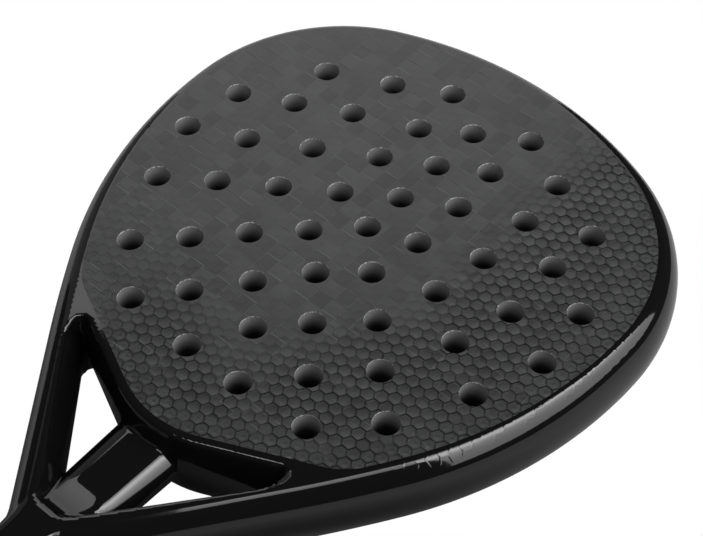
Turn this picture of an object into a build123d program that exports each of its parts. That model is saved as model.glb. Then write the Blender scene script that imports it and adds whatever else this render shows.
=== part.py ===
from build123d import *

import os
from math import cos, radians, sin, tan

# Padel racket: a moulded carbon frame round a drilled foam core, an open throat and a wound grip.
#
# The racket lies on its back. +Y runs from the butt to the tip, +X across the face and +Z out of
# the front face. The origin is under the middle of its length and width, on the back plane.

# ---- driving dimensions, in millimetres and degrees ------------------------------------------

LENGTH = 455.0
THICKNESS = 38.0
MID_Z = THICKNESS / 2
TIP_Y = LENGTH / 2
BUTT_Y = -LENGTH / 2

# The head's outline is a chain of tangent arcs from the tip: radius and turn of each.
TIP_ARC = (188.0, 22.6)
SHOULDER_ARC = (93.7, 66.4)
FLANK_ARC = (207.0, 33.9)
CHEEK_ARC = (690.0, 3.9)
OUTLINE_ARCS = (TIP_ARC, SHOULDER_ARC, FLANK_ARC, CHEEK_ARC)
TAPER_TURN = sum(turn for _, turn in OUTLINE_ARCS)
NECK_RADIUS = 22.0

# The frame's edge is half an ellipse, and its tube is a hollow D.
EDGE_DEPTH = 10.2
RIM_WIDTH = 13.0
FRAME_WALL = 1.4
TUBE_HALF_HEIGHT = 16.2
PLATE_INSET = 11.2

# Face sheets and core.
FACE_THICKNESS = 0.8
FACE_INSET = 10.75
FACE_CORNER_RADIUS = 4.0
HOLE_RADIUS = 6.0

# The face's lower edge is a wide V with a rounded point. Lines parallel to it shape the bridge.
V_POINT_Y = -35.2
V_ANGLE = 24.9
V_RADIUS = 51.0
CORE_RISE = 3.3
BRIDGE_DROP = 3.7
BRIDGE_BULGE = 3.75
BRIDGE_CLEARANCE = 0.5

# Throat opening, seen from the front: a shield shape under the bridge.
THROAT_HALF_WIDTH = 59.3
THROAT_SIDE_Y = -23.8
THROAT_POINT_Y = -96.8
THROAT_TOP_RADIUS = 3.0
THROAT_SIDE_RADIUS = 20.0
THROAT_POINT_RADIUS = 14.5
ARM_BULGE = 5.7
BULGE_ROOT = 2.0

# Rib down the middle of the throat.
SPINE_TOP_Y = -30.0
SPINE_END_Y = -95.0
SPINE_HALF_THICKNESS = 9.7
SPINE_FLAT_HALF_WIDTH = 9.5
SPINE_TOP_HALF_WIDTH = 17.5
SPINE_END_HALF_WIDTH = 15.5
SPINE_EDGE_RADIUS = 2.5
SPINE_SKIN = 1.4
SPINE_RAMP_START_Y = -74.4
SPINE_RAMP_END_Y = -88.0
SPINE_RAMP_HALF_WIDTH = 11.0
SPINE_FOAM_TOP_Y = -41.0
SPINE_FOAM_END_Y = -66.0

# Handle.
SHAFT_WIDTH = 29.5
SHAFT_HEIGHT = 26.5
SHAFT_ROUND = 9.0
SHAFT_WALL = 1.6
SHAFT_START_Y = -125.0
GRIP_WIDTH = 34.0
GRIP_HEIGHT = 31.0
GRIP_CHAMFER = 9.0
GRIP_CORNER_RADIUS = 4.0
GRIP_TOP_Y = -127.0
GRIP_FLARE_Y = -205.0
POMMEL_WIDTH = 37.0
POMMEL_HEIGHT = 34.0
CAP_TOP_Y = -223.5
CAP_SKIRT_TOP_Y = -208.0
CAP_SKIRT_WALL = 0.9
CAP_PLUG_TOP_Y = -206.0
CAP_PLUG_WALL = 2.5
CORD_HOLE_RADIUS = 3.5
TAPE_TOP_Y = -127.5
TAPE_END_Y = -145.0
TAPE_THICKNESS = 0.4
COLLAR_TOP_Y = -123.5
COLLAR_END_Y = -134.0
COLLAR_THICKNESS = 1.5

# Foam fillings.
BRIDGE_FOAM_WIDTH = 4.6
BRIDGE_FOAM_HEIGHT = 30.0
BRIDGE_FOAM_HALF_SPAN = 50.0
BRIDGE_FOAM_DROP = 0.6
HANDLE_FOAM_END_Y = -205.5

# Drilling pattern: each row's height, and how far its holes stand from the middle.
# A distance of zero is one hole on the middle line, and any other is a pair.
HOLE_ROWS = (
    (189.5, (23.0,)),
    (176.0, (0.0, 48.2)),
    (162.3, (20.9, 77.5)),
    (149.8, (0.0, 50.3)),
    (137.0, (23.0, 75.1)),
    (124.5, (0.0, 99.2)),
    (121.2, (49.6,)),
    (109.4, (22.5,)),
    (106.0, (76.2,)),
    (102.0, (0.0,)),
    (93.8, (45.5, 102.3)),
    (83.7, (18.1,)),
    (78.4, (68.6,)),
    (67.8, (0.0,)),
    (65.6, (36.9,)),
    (62.6, (90.8,)),
    (46.7, (17.1, 54.7)),
    (28.5, (0.0, 73.3)),
    (25.5, (34.2,)),
    (6.1, (50.2,)),
    (3.9, (14.6,)),
)


# ---- outlines ---------------------------------------------------------------------------------


def taper_length():
    """Length of the straight taper between the cheek arc and the neck arc."""
    cheek_end = half_outline(0.0, False)[-1] @ 1
    neck_start_x = SHAFT_WIDTH / 2 + NECK_RADIUS * (1 - cos(radians(TAPER_TURN - 90)))
    return (cheek_end.X - neck_start_x) / sin(radians(TAPER_TURN - 90))


def half_outline(inset, with_neck=True):
    """Edges of the right half of the outline, from the tip, moved inward by inset."""
    point = Vector(0, TIP_Y - inset)
    direction = Vector(1, 0)
    edges = []
    for radius, turn in OUTLINE_ARCS:
        edge = JernArc(point, direction, radius - inset, -turn)
        edges.append(edge)
        point = edge @ 1
        direction = edge % 1
    if with_neck:
        line = Line(point, point + direction * taper_length())
        neck = JernArc(line @ 1, direction, NECK_RADIUS + inset, TAPER_TURN - 90)
        edges += [line, neck]
    return edges


def neck_end_y():
    """Height at which the neck arc meets the straight handle."""
    return (half_outline(0.0)[-1] @ 1).Y


def outline_region(inset):
    """Flat region inside the outline, closed across the end of the neck."""
    right = half_outline(inset)
    left = [mirror(edge, Plane.YZ) for edge in right]
    low_right = right[-1] @ 1
    low_left = Vector(-low_right.X, low_right.Y)
    return make_face(right + left + [Line(low_right, low_left)])


def v_point(drop):
    """Corner of the V line that lies a distance below the face's lower edge."""
    return V_POINT_Y - drop / cos(radians(V_ANGLE))


def above_v(drop):
    """Flat region above the rounded V line that lies a distance below the face's lower edge."""
    reach = LENGTH / 2
    rise = reach * tan(radians(V_ANGLE))
    corner = v_point(drop)
    region = make_face(
        Polyline(
            (0, corner),
            (reach, corner + rise),
            (reach, TIP_Y + reach),
            (-reach, TIP_Y + reach),
            (-reach, corner + rise),
            close=True,
        )
    )
    point = region.vertices().sort_by(Axis.Y)[0]
    return fillet(point, V_RADIUS + drop)


def head_region(inset):
    """Flat region inside the outline, down to the bridge's lower wall."""
    return outline_region(inset) & above_v(BRIDGE_DROP + BRIDGE_BULGE + BRIDGE_CLEARANCE)


def v_line(drop, reach):
    """Rounded V line itself, from the left end to the right end."""
    corner = v_point(drop)
    end_y = corner + reach * tan(radians(V_ANGLE))
    return FilletPolyline((-reach, end_y), (0, corner), (reach, end_y), radius=V_RADIUS + drop)


def throat_region():
    """Throat opening's outline at the front and back planes."""
    corner = v_point(BRIDGE_DROP)
    top_y = corner + THROAT_HALF_WIDTH * tan(radians(V_ANGLE))
    region = make_face(
        Polyline(
            (0, corner),
            (THROAT_HALF_WIDTH, top_y),
            (THROAT_HALF_WIDTH, THROAT_SIDE_Y),
            (0, THROAT_POINT_Y),
            (-THROAT_HALF_WIDTH, THROAT_SIDE_Y),
            (-THROAT_HALF_WIDTH, top_y),
            close=True,
        )
    )
    tops = region.vertices().filter_by_position(Axis.Y, top_y - 1, top_y + 1)
    region = fillet(tops, THROAT_TOP_RADIUS)
    sides = region.vertices().filter_by_position(Axis.Y, THROAT_SIDE_Y - 0.1, THROAT_SIDE_Y + 0.1)
    region = fillet(sides, THROAT_SIDE_RADIUS)
    middle = region.vertices().filter_by_position(Axis.X, -0.1, 0.1)
    region = fillet(middle.sort_by(Axis.Y)[0], THROAT_POINT_RADIUS)
    middle = region.vertices().filter_by_position(Axis.X, -0.1, 0.1)
    return fillet(middle.sort_by(Axis.Y)[-1], V_RADIUS + BRIDGE_DROP)


def slab(region, low_z, high_z):
    """Region extruded between two heights."""
    return extrude(Pos(0, 0, low_z) * region, high_z - low_z)


def full_slab(region):
    """Region extruded through the racket's whole thickness."""
    return slab(region, 0, THICKNESS)


# ---- sections -----------------------------------------------------------------------------------


def tip_plane():
    """Plane across the hoop at the tip, with its x axis pointing inward."""
    return Plane(origin=(0, TIP_Y, MID_Z), x_dir=(0, -1, 0), z_dir=(1, 0, 0))


def handle_plane(y):
    """Plane across the handle, facing the butt."""
    return Plane(origin=(0, y, MID_Z), x_dir=(1, 0, 0), z_dir=(0, -1, 0))


def d_section(start, depth, half_height, width):
    """Half an ellipse that starts at an inset, squared off at a width."""
    ellipse = Pos(start + depth, 0) * Ellipse(depth, half_height)
    front = Pos(start + depth / 2, 0) * Rectangle(depth, 2 * half_height)
    block_width = width - start - depth
    block = Pos(start + depth + block_width / 2, 0) * Rectangle(block_width, 2 * half_height)
    return (ellipse & front) + block


def oval_section(width, height, round_x):
    """Flat-sided oval: two half ellipses joined by flats above and below."""
    flat = width / 2 - round_x
    half = height / 2
    edges = [
        Line((-flat, half), (flat, half)),
        EllipticalCenterArc((flat, 0), round_x, half, start_angle=90, arc_size=-180),
        Line((flat, -half), (-flat, -half)),
        EllipticalCenterArc((-flat, 0), round_x, half, start_angle=270, arc_size=-180),
    ]
    return make_face(edges)


def octagon_section(width, height, chamfer_size=GRIP_CHAMFER):
    """Rounded octagon of the wound handle."""
    blank = Rectangle(width, height)
    octagon = chamfer(blank.vertices(), chamfer_size)
    return fillet(octagon.vertices(), GRIP_CORNER_RADIUS)


def handle_run(section, top_y, end_y):
    """Section extruded along the handle, from its top to its end."""
    return extrude(handle_plane(top_y) * section, top_y - end_y)


def shaft_section(margin=0.0):
    """Moulded shaft's section, grown by a margin, or shrunk by a negative one."""
    return oval_section(SHAFT_WIDTH + 2 * margin, SHAFT_HEIGHT + 2 * margin, SHAFT_ROUND + margin)


def neck_and_shaft(margin, end_y):
    """Neck that thins from the head's thickness to the shaft, and the shaft below it."""
    neck_top = oval_section(SHAFT_WIDTH + 2 * margin, THICKNESS + 2 * margin, EDGE_DEPTH + margin)
    neck_sections = [
        handle_plane(neck_end_y()) * neck_top,
        handle_plane(SHAFT_START_Y) * shaft_section(margin),
    ]
    return loft(neck_sections) + handle_run(shaft_section(margin), SHAFT_START_Y, end_y)


# ---- throat walls -------------------------------------------------------------------------------


def bulge_section(bulge):
    """Convex wall face: a shallow arc as tall as the racket, with a root behind it."""
    face_arc = ThreePointArc((0, -MID_Z), (bulge, 0), (0, MID_Z))
    root = Polyline((0, MID_Z), (-BULGE_ROOT, MID_Z), (-BULGE_ROOT, -MID_Z), (0, -MID_Z))
    return make_face([face_arc, root])


def arm_bulge():
    """Convex inner wall of the right arm, from the neck past the throat's top corner."""
    low = Vector(0, THROAT_POINT_Y, MID_Z)
    side = Vector(THROAT_HALF_WIDTH, THROAT_SIDE_Y, MID_Z)
    along = (side - low).normalized()
    inward = Vector(-along.Y, along.X, 0)
    length = (side - low).length * 1.2
    plane = Plane(origin=low, x_dir=inward, z_dir=along)
    return extrude(plane * bulge_section(ARM_BULGE), length)


def bridge_bulge():
    """Convex lower wall of the bridge, along the V and past both of its ends."""
    path = v_line(BRIDGE_DROP, THROAT_HALF_WIDTH * 1.15)
    path = Pos(0, 0, MID_Z) * path
    along = path % 0
    outward = Vector(along.Y, -along.X, 0)
    plane = Plane(origin=path @ 0, x_dir=outward, z_dir=along)
    return sweep(plane * bulge_section(BRIDGE_BULGE), path=path)


def throat_opening():
    """Space in the throat between the arms and under the bridge, before the rib is added."""
    arm = arm_bulge()
    return full_slab(throat_region()) - arm - mirror(arm, Plane.YZ) - bridge_bulge()


# ---- whole moulding, before it is divided into pieces -----------------------------------------------


def rim_sweep(section):
    """Section carried round the whole hoop and down both arms."""
    path = Pos(0, 0, MID_Z) * Wire(half_outline(0.0))
    right = sweep(tip_plane() * section, path=path)
    return right + mirror(right, Plane.YZ)


def moulding(opening):
    """Solid blank of the frame, bridge, core and faces together, with the throat cut out."""
    edge = rim_sweep(d_section(0, EDGE_DEPTH, MID_Z, EDGE_DEPTH + 2))
    blank = edge + full_slab(outline_region(PLATE_INSET))
    blank += neck_and_shaft(0.0, CAP_TOP_Y)
    return blank - opening


# ---- pieces of the head ---------------------------------------------------------------------------


def hole_positions():
    """Centres of all the drilled holes."""
    places = []
    for y, offsets in HOLE_ROWS:
        for x in offsets:
            places.append((x, y))
            if x > 0:
                places.append((-x, y))
    return places


def drilled(region):
    """Region with the racket's holes cut through it."""
    return region - Locations(*hole_positions()) * Circle(HOLE_RADIUS)


def face_region():
    """Outline of a face sheet, without its holes."""
    region = head_region(FACE_INSET) & above_v(0.0)
    side_corners = region.vertices().sort_by(Axis.Y)[2:4]
    return fillet(side_corners, FACE_CORNER_RADIUS)


def core_region():
    """Outline of the foam core, without its holes."""
    return head_region(RIM_WIDTH) & above_v(-CORE_RISE)


def make_faces():
    """Front and back face sheets, let into the moulding flush with its flats."""
    sheet = drilled(face_region())
    front = slab(sheet, THICKNESS - FACE_THICKNESS, THICKNESS)
    back = slab(sheet, 0, FACE_THICKNESS)
    return front, back


def face_recesses():
    """Shallow recesses that the two face sheets lie in."""
    region = face_region()
    front = slab(region, THICKNESS - FACE_THICKNESS, THICKNESS)
    return front + slab(region, 0, FACE_THICKNESS)


def make_core():
    """Foam plate between the faces, drilled through."""
    return slab(drilled(core_region()), FACE_THICKNESS, THICKNESS - FACE_THICKNESS)


def make_frame(blank, recesses):
    """Hollow hoop, its two arms and the handle's shaft, moulded as one."""
    tube_section = d_section(
        FRAME_WALL, EDGE_DEPTH - FRAME_WALL, TUBE_HALF_HEIGHT, RIM_WIDTH - FRAME_WALL
    )
    frame = blank - full_slab(head_region(RIM_WIDTH)) - recesses
    frame -= rim_sweep(tube_section)
    return frame - neck_and_shaft(-SHAFT_WALL, CAP_TOP_Y)


def make_bridge_foam():
    """Foam bar that the bridge is wrapped round."""
    path = Pos(0, 0, MID_Z) * v_line(BRIDGE_FOAM_DROP, BRIDGE_FOAM_HALF_SPAN)
    plane = Plane(origin=path @ 0, x_dir=(0, 0, 1), z_dir=path % 0)
    section = RectangleRounded(BRIDGE_FOAM_HEIGHT, BRIDGE_FOAM_WIDTH, BRIDGE_FOAM_WIDTH / 3)
    return sweep(plane * section, path=path)


def make_bridge(blank, recesses, foam):
    """Bar that closes the hoop above the throat."""
    region = head_region(RIM_WIDTH) - core_region()
    return (blank & full_slab(region)) - recesses - foam


# ---- rib down the throat ----------------------------------------------------------------------------


def rib_section(half_width, skin=0.0):
    """Rounded hexagon, flat above and below, shrunk by a skin's thickness."""
    side = half_width - skin
    flat = SPINE_FLAT_HALF_WIDTH - skin / 2
    half = SPINE_HALF_THICKNESS - skin
    hexagon = make_face(
        Polyline(
            (side, 0), (flat, half), (-flat, half), (-side, 0), (-flat, -half), (flat, -half),
            close=True,
        )
    )
    return fillet(hexagon.vertices(), SPINE_EDGE_RADIUS - skin)


def rib_bar(skin, top_y, end_y):
    """Tapering bar between two heights in the throat."""
    span = SPINE_TOP_Y - SPINE_END_Y
    slope = (SPINE_TOP_HALF_WIDTH - SPINE_END_HALF_WIDTH) / span
    top_width = SPINE_TOP_HALF_WIDTH - slope * (SPINE_TOP_Y - top_y)
    end_width = SPINE_TOP_HALF_WIDTH - slope * (SPINE_TOP_Y - end_y)
    sections = [
        handle_plane(top_y) * rib_section(top_width, skin),
        handle_plane(end_y) * rib_section(end_width, skin),
    ]
    return loft(sections)


def rib_ramp():
    """Wedge at the rib's lower end that climbs to the front plane."""
    low_z = MID_Z + SPINE_HALF_THICKNESS / 2
    top_z = MID_Z + SPINE_HALF_THICKNESS
    profile = make_face(
        Polyline(
            (SPINE_RAMP_START_Y, low_z),
            (SPINE_RAMP_START_Y, top_z),
            (SPINE_RAMP_END_Y, THICKNESS),
            (SPINE_END_Y, THICKNESS),
            (SPINE_END_Y, low_z),
            close=True,
        )
    )
    return extrude(Plane.YZ * profile, SPINE_RAMP_HALF_WIDTH, both=True)


def make_spine_foam():
    """Foam bar that the rib is wrapped round."""
    return rib_bar(SPINE_SKIN, SPINE_FOAM_TOP_Y, SPINE_FOAM_END_Y)


def make_spine(opening, foam):
    """Rib from the bridge to the foot of the throat, with a ramp on each side of its foot."""
    front_ramp = rib_ramp()
    back_ramp = mirror(front_ramp, Plane.XY.offset(MID_Z))
    bar = rib_bar(0.0, SPINE_TOP_Y, SPINE_END_Y)
    return ((bar + front_ramp + back_ramp) & opening) - foam


# ---- handle -------------------------------------------------------------------------------------------


def make_handle_core():
    """Foam that fills the neck and the shaft."""
    return neck_and_shaft(-SHAFT_WALL, HANDLE_FOAM_END_Y)


def make_butt_cap():
    """Moulded cap: a flared end, a skirt over the shaft and a plug inside it."""
    disc = handle_run(octagon_section(POMMEL_WIDTH, POMMEL_HEIGHT), CAP_TOP_Y, BUTT_Y)
    skirt = handle_run(shaft_section(CAP_SKIRT_WALL), CAP_SKIRT_TOP_Y, CAP_TOP_Y)
    skirt -= handle_run(shaft_section(), CAP_SKIRT_TOP_Y, CAP_TOP_Y)
    plug = handle_run(shaft_section(-SHAFT_WALL), CAP_PLUG_TOP_Y, CAP_TOP_Y)
    plug -= handle_run(shaft_section(-SHAFT_WALL - CAP_PLUG_WALL), CAP_PLUG_TOP_Y, CAP_TOP_Y)
    cord_hole = handle_run(Circle(CORD_HOLE_RADIUS), CAP_TOP_Y, BUTT_Y)
    return disc + skirt + plug - cord_hole


def grip_blank():
    """Outer shape of the wound grip, flared to meet the butt cap."""
    straight = handle_run(octagon_section(GRIP_WIDTH, GRIP_HEIGHT), GRIP_TOP_Y, GRIP_FLARE_Y)
    flare_sections = [
        handle_plane(GRIP_FLARE_Y) * octagon_section(GRIP_WIDTH, GRIP_HEIGHT),
        handle_plane(CAP_TOP_Y) * octagon_section(POMMEL_WIDTH, POMMEL_HEIGHT),
    ]
    return straight + loft(flare_sections)


def make_grip():
    """Cushioned grip over the shaft and the cap's skirt."""
    grip = grip_blank() - handle_run(shaft_section(), GRIP_TOP_Y, CAP_TOP_Y)
    return grip - handle_run(shaft_section(CAP_SKIRT_WALL), CAP_SKIRT_TOP_Y, CAP_TOP_Y)


def wound_band(thickness, top_y, end_y):
    """Solid octagonal band that stands out from the grip by a thickness."""
    section = octagon_section(GRIP_WIDTH + 2 * thickness, GRIP_HEIGHT + 2 * thickness)
    return handle_run(section, top_y, end_y)


def make_tape():
    """Tape that ties off the top of the grip."""
    return wound_band(TAPE_THICKNESS, TAPE_TOP_Y, TAPE_END_Y) - grip_blank()


def make_collar():
    """Rubber collar over the end of the tape and the top of the grip."""
    collar = wound_band(TAPE_THICKNESS + COLLAR_THICKNESS, COLLAR_TOP_Y, COLLAR_END_Y)
    collar -= wound_band(TAPE_THICKNESS, TAPE_TOP_Y, TAPE_END_Y)
    return collar - grip_blank() - neck_and_shaft(0.0, GRIP_TOP_Y)


# ---- assembly -----------------------------------------------------------------------------------------


def build_racket():
    """Every piece of the racket, by name."""
    opening = throat_opening()
    blank = moulding(opening)
    recesses = face_recesses()
    front_face, back_face = make_faces()
    bridge_foam = make_bridge_foam()
    spine_foam = make_spine_foam()
    return {
        "frame_tube": make_frame(blank, recesses),
        "throat_bridge": make_bridge(blank, recesses, bridge_foam),
        "bridge_foam": bridge_foam,
        "throat_spine": make_spine(opening, spine_foam),
        "spine_foam": spine_foam,
        "foam_core": make_core(),
        "front_face": front_face,
        "back_face": back_face,
        "handle_core": make_handle_core(),
        "butt_cap": make_butt_cap(),
        "base_grip": make_grip(),
        "finishing_tape": make_tape(),
        "grip_collar": make_collar(),
    }


def main():
    os.makedirs("parts", exist_ok=True)
    for name, piece in build_racket().items():
        export_step(piece, f"parts/{name}.step")


if __name__ == "__main__":
    main()
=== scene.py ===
from math import atan2, ceil, cos, pi, radians, sin, sqrt, tan

import bpy
import numpy as np
from mathutils import Matrix, Vector


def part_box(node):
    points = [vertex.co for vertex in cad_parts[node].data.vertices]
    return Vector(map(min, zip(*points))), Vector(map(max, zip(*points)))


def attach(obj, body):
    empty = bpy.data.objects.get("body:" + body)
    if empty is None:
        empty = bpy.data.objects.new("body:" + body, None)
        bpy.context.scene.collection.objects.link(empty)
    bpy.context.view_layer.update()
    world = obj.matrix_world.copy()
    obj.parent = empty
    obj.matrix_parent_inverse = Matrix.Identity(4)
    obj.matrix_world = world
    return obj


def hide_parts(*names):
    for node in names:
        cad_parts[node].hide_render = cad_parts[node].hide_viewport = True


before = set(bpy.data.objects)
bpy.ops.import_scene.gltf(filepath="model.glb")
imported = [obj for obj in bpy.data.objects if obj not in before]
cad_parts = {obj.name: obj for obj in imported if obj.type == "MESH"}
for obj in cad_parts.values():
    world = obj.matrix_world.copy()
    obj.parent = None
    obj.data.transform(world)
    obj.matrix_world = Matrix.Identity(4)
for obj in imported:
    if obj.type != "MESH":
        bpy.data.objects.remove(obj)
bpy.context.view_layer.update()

# Padel racket. Lengths are millimetres in the racket's own frame, and MM turns them to metres
# when a mesh is made. +Y runs from the butt to the tip, and +Z out of the front face.

MM = 0.001
FAR = 1000.0


def node_box(name):
    """Lowest and highest corners of a CAD node, in millimetres."""
    low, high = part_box(name)
    return np.array(low) / MM, np.array(high) / MM


# ---- sizes ----

hoop_low, hoop_high = node_box("frame_tube")
sheet_low, sheet_high = node_box("front_face")
core_low, core_high = node_box("foam_core")
grip_low, grip_high = node_box("base_grip")
tape_low, tape_high = node_box("finishing_tape")
collar_low, collar_high = node_box("grip_collar")
cap_low, cap_high = node_box("butt_cap")

TIP_Y = hoop_high[1]
THICKNESS = hoop_high[2]
MID_Z = THICKNESS / 2
SHAFT_END_Y = hoop_low[1]
FACE_THICKNESS = sheet_high[2] - sheet_low[2]

# Head outline: tangent arcs from the tip, as radius and clockwise turn.
OUTLINE_ARCS = ((188.0, 22.6), (93.7, 66.4), (207.0, 33.9), (690.0, 3.9))
TAPER_TURN = sum(turn for _, turn in OUTLINE_ARCS) - 90
NECK_RADIUS = 22.0
SHAFT_HALF_WIDTH = 14.75
SHAFT_HALF_HEIGHT = 13.25
SHAFT_ROUND = 9.0
SHAFT_TOP_Y = -125.0
NECK_BLEND = 17.5
HEAD_MIDDLE_Y = 90.0

# Moulding. A blend is the width, in the field's own unit, over which two surfaces run together.
EDGE_DEPTH = 10.2
EDGE_POWER = 1.6
FACE_INSET = 10.75
RIM_WIDTH = 13.0
V_POINT_Y = -35.2
V_ANGLE = 24.9
V_RADIUS = 51.0
CORE_RISE = 3.3
BRIDGE_DROP = 3.7
BRIDGE_BULGE = 3.75
ARM_BULGE = 5.7
THROAT_HALF_WIDTH = 59.3
THROAT_SIDE_Y = -23.8
THROAT_POINT_Y = -96.8
THROAT_TOP_RADIUS = 3.0
THROAT_SIDE_RADIUS = 20.0
THROAT_POINT_RADIUS = 14.5
CORNER_WALL = 0.8
RECESS_WALL = 0.8
SHAFT_END_WALL = 1.5
WALL_FIELD_CAP = 2.0
EDGE_BLEND = 90.0
WALL_BLEND = 110.0
BULGE_BLEND = 0.25
CORNER_BLEND = 0.2
FACE_CORNER_RADIUS = 4.0
NORMAL_REACH = 1.5

# Grid that the moulding's surface is found on: its steps, and where the finer part ends.
GRID_FINE = 1.06
GRID_COARSE = 1.7
GRID_SHAFT = 3.0
GRID_Z = 1.15
GRID_MARGIN = 2.5
FINE_X = 62
FINE_LOW_Y = -134
FINE_HIGH_Y = -6

# Lattice showing through the paint of the rim: where each of its fades starts and ends.
PRINT_OUTER = (-6.5, -4.5)
PRINT_INNER = (1.2, 2.2)
PRINT_X = (35.0, 85.0)
PRINT_BELOW_Y = (-150.0, -115.0)
PRINT_ABOVE_V = (4.0, 12.0)

# Rib.
RIB_TOP_Y = -30.0
RIB_END_Y = -95.0
RIB_HALF_THICKNESS = 9.7
RIB_FLAT_HALF_WIDTH = 9.5
RIB_TOP_HALF_WIDTH = 17.5
RIB_END_HALF_WIDTH = 15.5
RIB_SHOULDER = 0.9
RIB_SHOULDER_START = 2.5
RIB_MARGIN = 4.0
RIB_TAIL = 12.0
RAMP_START_Y = -66.0
RAMP_END_Y = -88.5
RAMP_POWER = 2.2

# Drilling pattern: each row's height, and how far its holes stand from the middle line.
HOLE_RADIUS = 6.0
HOLE_SIDES = 64
FOAM_CLEARANCE = 0.02
HOLE_ROWS = (
    (189.5, (23.0,)),
    (176.0, (0.0, 48.2)),
    (162.3, (20.9, 77.5)),
    (149.8, (0.0, 50.3)),
    (137.0, (23.0, 75.1)),
    (124.5, (0.0, 99.2)),
    (121.2, (49.6,)),
    (109.4, (22.5,)),
    (106.0, (76.2,)),
    (102.0, (0.0,)),
    (93.8, (45.5, 102.3)),
    (83.7, (18.1,)),
    (78.4, (68.6,)),
    (67.8, (0.0,)),
    (65.6, (36.9,)),
    (62.6, (90.8,)),
    (46.7, (17.1, 54.7)),
    (28.5, (0.0, 73.3)),
    (25.5, (34.2,)),
    (6.1, (50.2,)),
    (3.9, (14.6,)),
)

# Embossed hexagons: distance between neighbours in a column, and the groove profile of a cell,
# as a part of the cell's size and the depth there.
CELL_STEP = 5.66
COLUMN_STEP = CELL_STEP * sqrt(3) / 2
CELL_RADIUS = CELL_STEP / sqrt(3)
EMBOSS_DEPTH = 0.17
CELL_PROFILE = ((0.955, 0.15), (0.87, 0.75), (0.78, 1.0))
DIMPLE_DEPTH = 0.16
DIMPLE_LEAST = 0.01
DIMPLE_LIP = 0.4
DIMPLE_REACH = 13.0
DIMPLE_FULL = 2.0
DIMPLE_RIM = 0.62
DIMPLE_CORE = 0.26

# Depth of the relief over the face: a slanting border with full relief at its right, and a band
# along the V. Each fade is given by its two ends.
RELIEF_LEAST = 0.08
BORDER_START_Y = -15
BORDER_SLOPE = 1.55
BORDER_END_X = 60.0
BORDER_FADE = (-30.0, 16.0)
V_FADE = (12.0, 62.0)
LEFT_FADE = (-72.0, -12.0)
LEFT_LEAST = 0.2

# Woven tows under the surface.
TOW_STEP = 7.75


# ---- outlines ----


class Chain:
    """Tangent arcs and straight runs, with a signed distance that is positive on their right."""

    def __init__(self, start, heading):
        self.point = np.array(start, float)
        self.heading = radians(heading)
        self.parts = []

    def right(self):
        return np.array((sin(self.heading), -cos(self.heading)))

    def run(self, length):
        ahead = np.array((cos(self.heading), sin(self.heading)))
        self.parts.append(("run", self.point.copy(), ahead, self.right(), length))
        self.point = self.point + ahead * length
        return self

    def arc(self, radius, turn):
        """Arc with a turn in degrees, positive to the right."""
        side = 1 if turn > 0 else -1
        centre = self.point + self.right() * radius * side
        start_angle = self.heading + side * pi / 2
        sweep = radians(abs(turn))
        self.parts.append(("arc", centre, radius, start_angle, sweep, side))
        self.heading -= side * sweep
        self.point = centre - self.right() * radius * side
        return self

    def distance(self, x, y):
        best = np.full(np.shape(x), FAR)
        for part in self.parts:
            if part[0] == "run":
                _, start, ahead, right, length = part
                dx = x - start[0]
                dy = y - start[1]
                along = dx * ahead[0] + dy * ahead[1]
                value = dx * right[0] + dy * right[1]
                valid = (along > -1e-6) & (along < length + 1e-6)
            else:
                _, centre, radius, start_angle, sweep, side = part
                dx = x - centre[0]
                dy = y - centre[1]
                gone = (side * (start_angle - np.arctan2(dy, dx))) % (2 * pi)
                value = side * (radius - np.hypot(dx, dy))
                valid = (gone < sweep + 1e-6) | (gone > 2 * pi - 1e-6)
            nearer = valid & (np.abs(value) < np.abs(best))
            best = np.where(nearer, value, best)
        return best


def filleted(corners, radii):
    """Chain through corner points, with an arc of its own radius at each inner one."""
    corners = np.array(corners, float)
    first = corners[1] - corners[0]
    chain = Chain(corners[0], atan2(first[1], first[0]) * 180 / pi)
    cut_before = 0.0
    for index in range(1, len(corners) - 1):
        before = corners[index] - corners[index - 1]
        after = corners[index + 1] - corners[index]
        turn = atan2(before[1], before[0]) - atan2(after[1], after[0])
        turn = (turn + pi) % (2 * pi) - pi
        cut = radii[index - 1] * tan(abs(turn) / 2)
        chain.run(np.hypot(*before) - cut_before - cut)
        chain.arc(radii[index - 1], turn * 180 / pi)
        cut_before = cut
    chain.run(np.hypot(*after) - cut_before)
    return chain


def head_outline():
    """Right half of the racket's outline, from the tip to the butt."""
    chain = Chain((0.0, TIP_Y), 0.0)
    for radius, turn in OUTLINE_ARCS:
        chain.arc(radius, turn)
    slope = radians(TAPER_TURN)
    neck_x = SHAFT_HALF_WIDTH + NECK_RADIUS * (1 - cos(slope))
    chain.run((chain.point[0] - neck_x) / sin(slope))
    chain.arc(NECK_RADIUS, -TAPER_TURN)
    chain.run(TIP_Y)
    return chain


def v_line():
    """Rounded V of the face's lower edge, with the face on its left."""
    reach = 2 * TIP_Y
    rise = reach * tan(radians(V_ANGLE))
    corners = ((-reach, V_POINT_Y + rise), (0, V_POINT_Y), (reach, V_POINT_Y + rise))
    return filleted(corners, (V_RADIUS,))


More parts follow.
